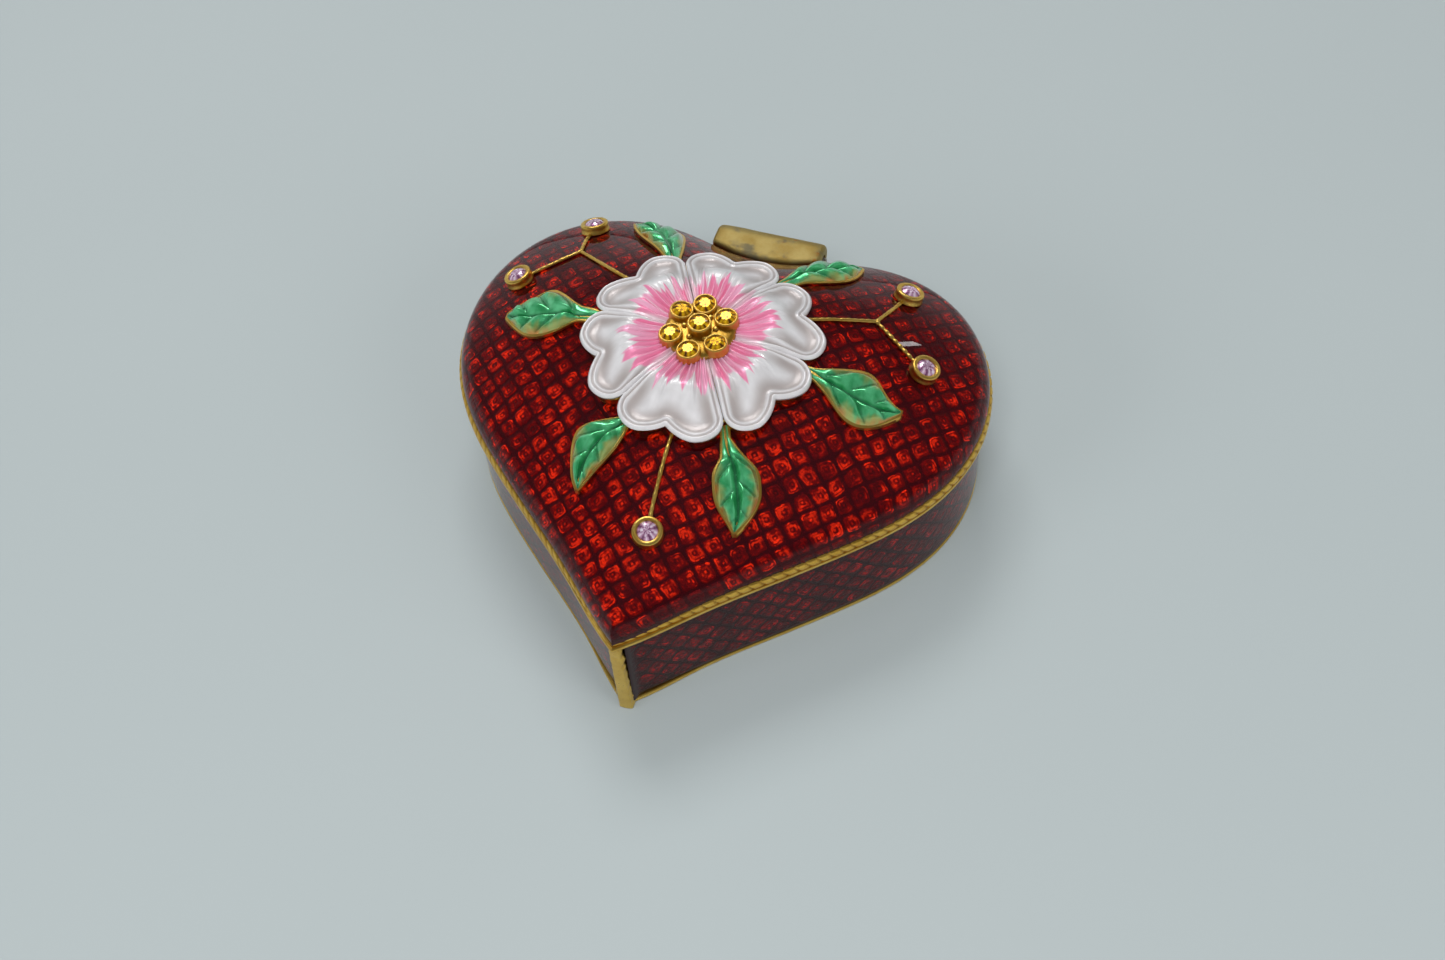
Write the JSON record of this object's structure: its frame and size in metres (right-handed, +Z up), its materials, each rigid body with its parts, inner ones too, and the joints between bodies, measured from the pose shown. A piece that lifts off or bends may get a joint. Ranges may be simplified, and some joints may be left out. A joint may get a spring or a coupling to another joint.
{
  "type": "heart-shaped trinket box",
  "caption": "Heart-shaped metal trinket box with a domed lid on a rear hinge, engraved lattice under red enamel, and an applied flower with leaves, sprigs and crystals.",
  "frame": {"origin": "on the surface the box stands on, under the middle of its bounding box", "axes": "+Z up, +Y towards the hinge, +X to the box's right when its point faces the viewer"},
  "size_m": [0.0766, 0.0736, 0.033],
  "materials": {
    "gold_plate": "satin gold plating over a zinc casting",
    "red_enamel": "glossy translucent deep red enamel over an engraved lattice",
    "felt": "short dark felt",
    "velvet": "short pile velvet",
    "magnet": "nickel plated",
    "hinge_gold": "worn gold plating with grey patches",
    "hinge_pin": "dull steel",
    "pearl_enamel": "pearly white enamel with pink streaks",
    "green_enamel": "pearly green enamel",
    "amber_crystal": "faceted, foil backed",
    "pink_crystal": "faceted, foil backed"
  },
  "bodies": {
    "base": {"base_enamel_left": "red_enamel", "base_enamel_right": "red_enamel", "base_felt_pad": "felt", "base_lining": "velvet", "base_magnet": "magnet", "base_shell": "gold_plate", "hinge_base": "hinge_gold", "hinge_pin": "hinge_pin"},
    "lid": {"amber_stone_1": "amber_crystal", "amber_stone_2": "amber_crystal", "amber_stone_3": "amber_crystal", "amber_stone_4": "amber_crystal", "amber_stone_5": "amber_crystal", "amber_stone_6": "amber_crystal", "amber_stone_7": "amber_crystal", "flower_casting": "gold_plate", "flower_centre": "gold_plate", "hinge_lid": "hinge_gold", "leaf_1": "green_enamel", "leaf_2": "green_enamel", "leaf_3": "green_enamel", "leaf_4": "green_enamel", "leaf_5": "green_enamel", "leaf_6": "green_enamel", "lid_enamel": "red_enamel", "lid_magnet": "magnet", "lid_shell": "gold_plate", "petal_1": "pearl_enamel", "petal_2": "pearl_enamel", "petal_3": "pearl_enamel", "petal_4": "pearl_enamel", "petal_5": "pearl_enamel", "petal_6": "pearl_enamel", "pink_stone_1": "pink_crystal", "pink_stone_2": "pink_crystal", "pink_stone_3": "pink_crystal", "pink_stone_4": "pink_crystal", "pink_stone_5": "pink_crystal", "sprig_front": "gold_plate", "sprig_left": "gold_plate", "sprig_right": "gold_plate"}
  },
  "joints": [
    {"name": "lid_hinge", "type": "hinge", "parent": "base", "child": "lid", "pos_m": [0, 0.0342, 0.0166], "axis": [-1, 0, 0], "range_deg": [0, 100]}
  ]
}
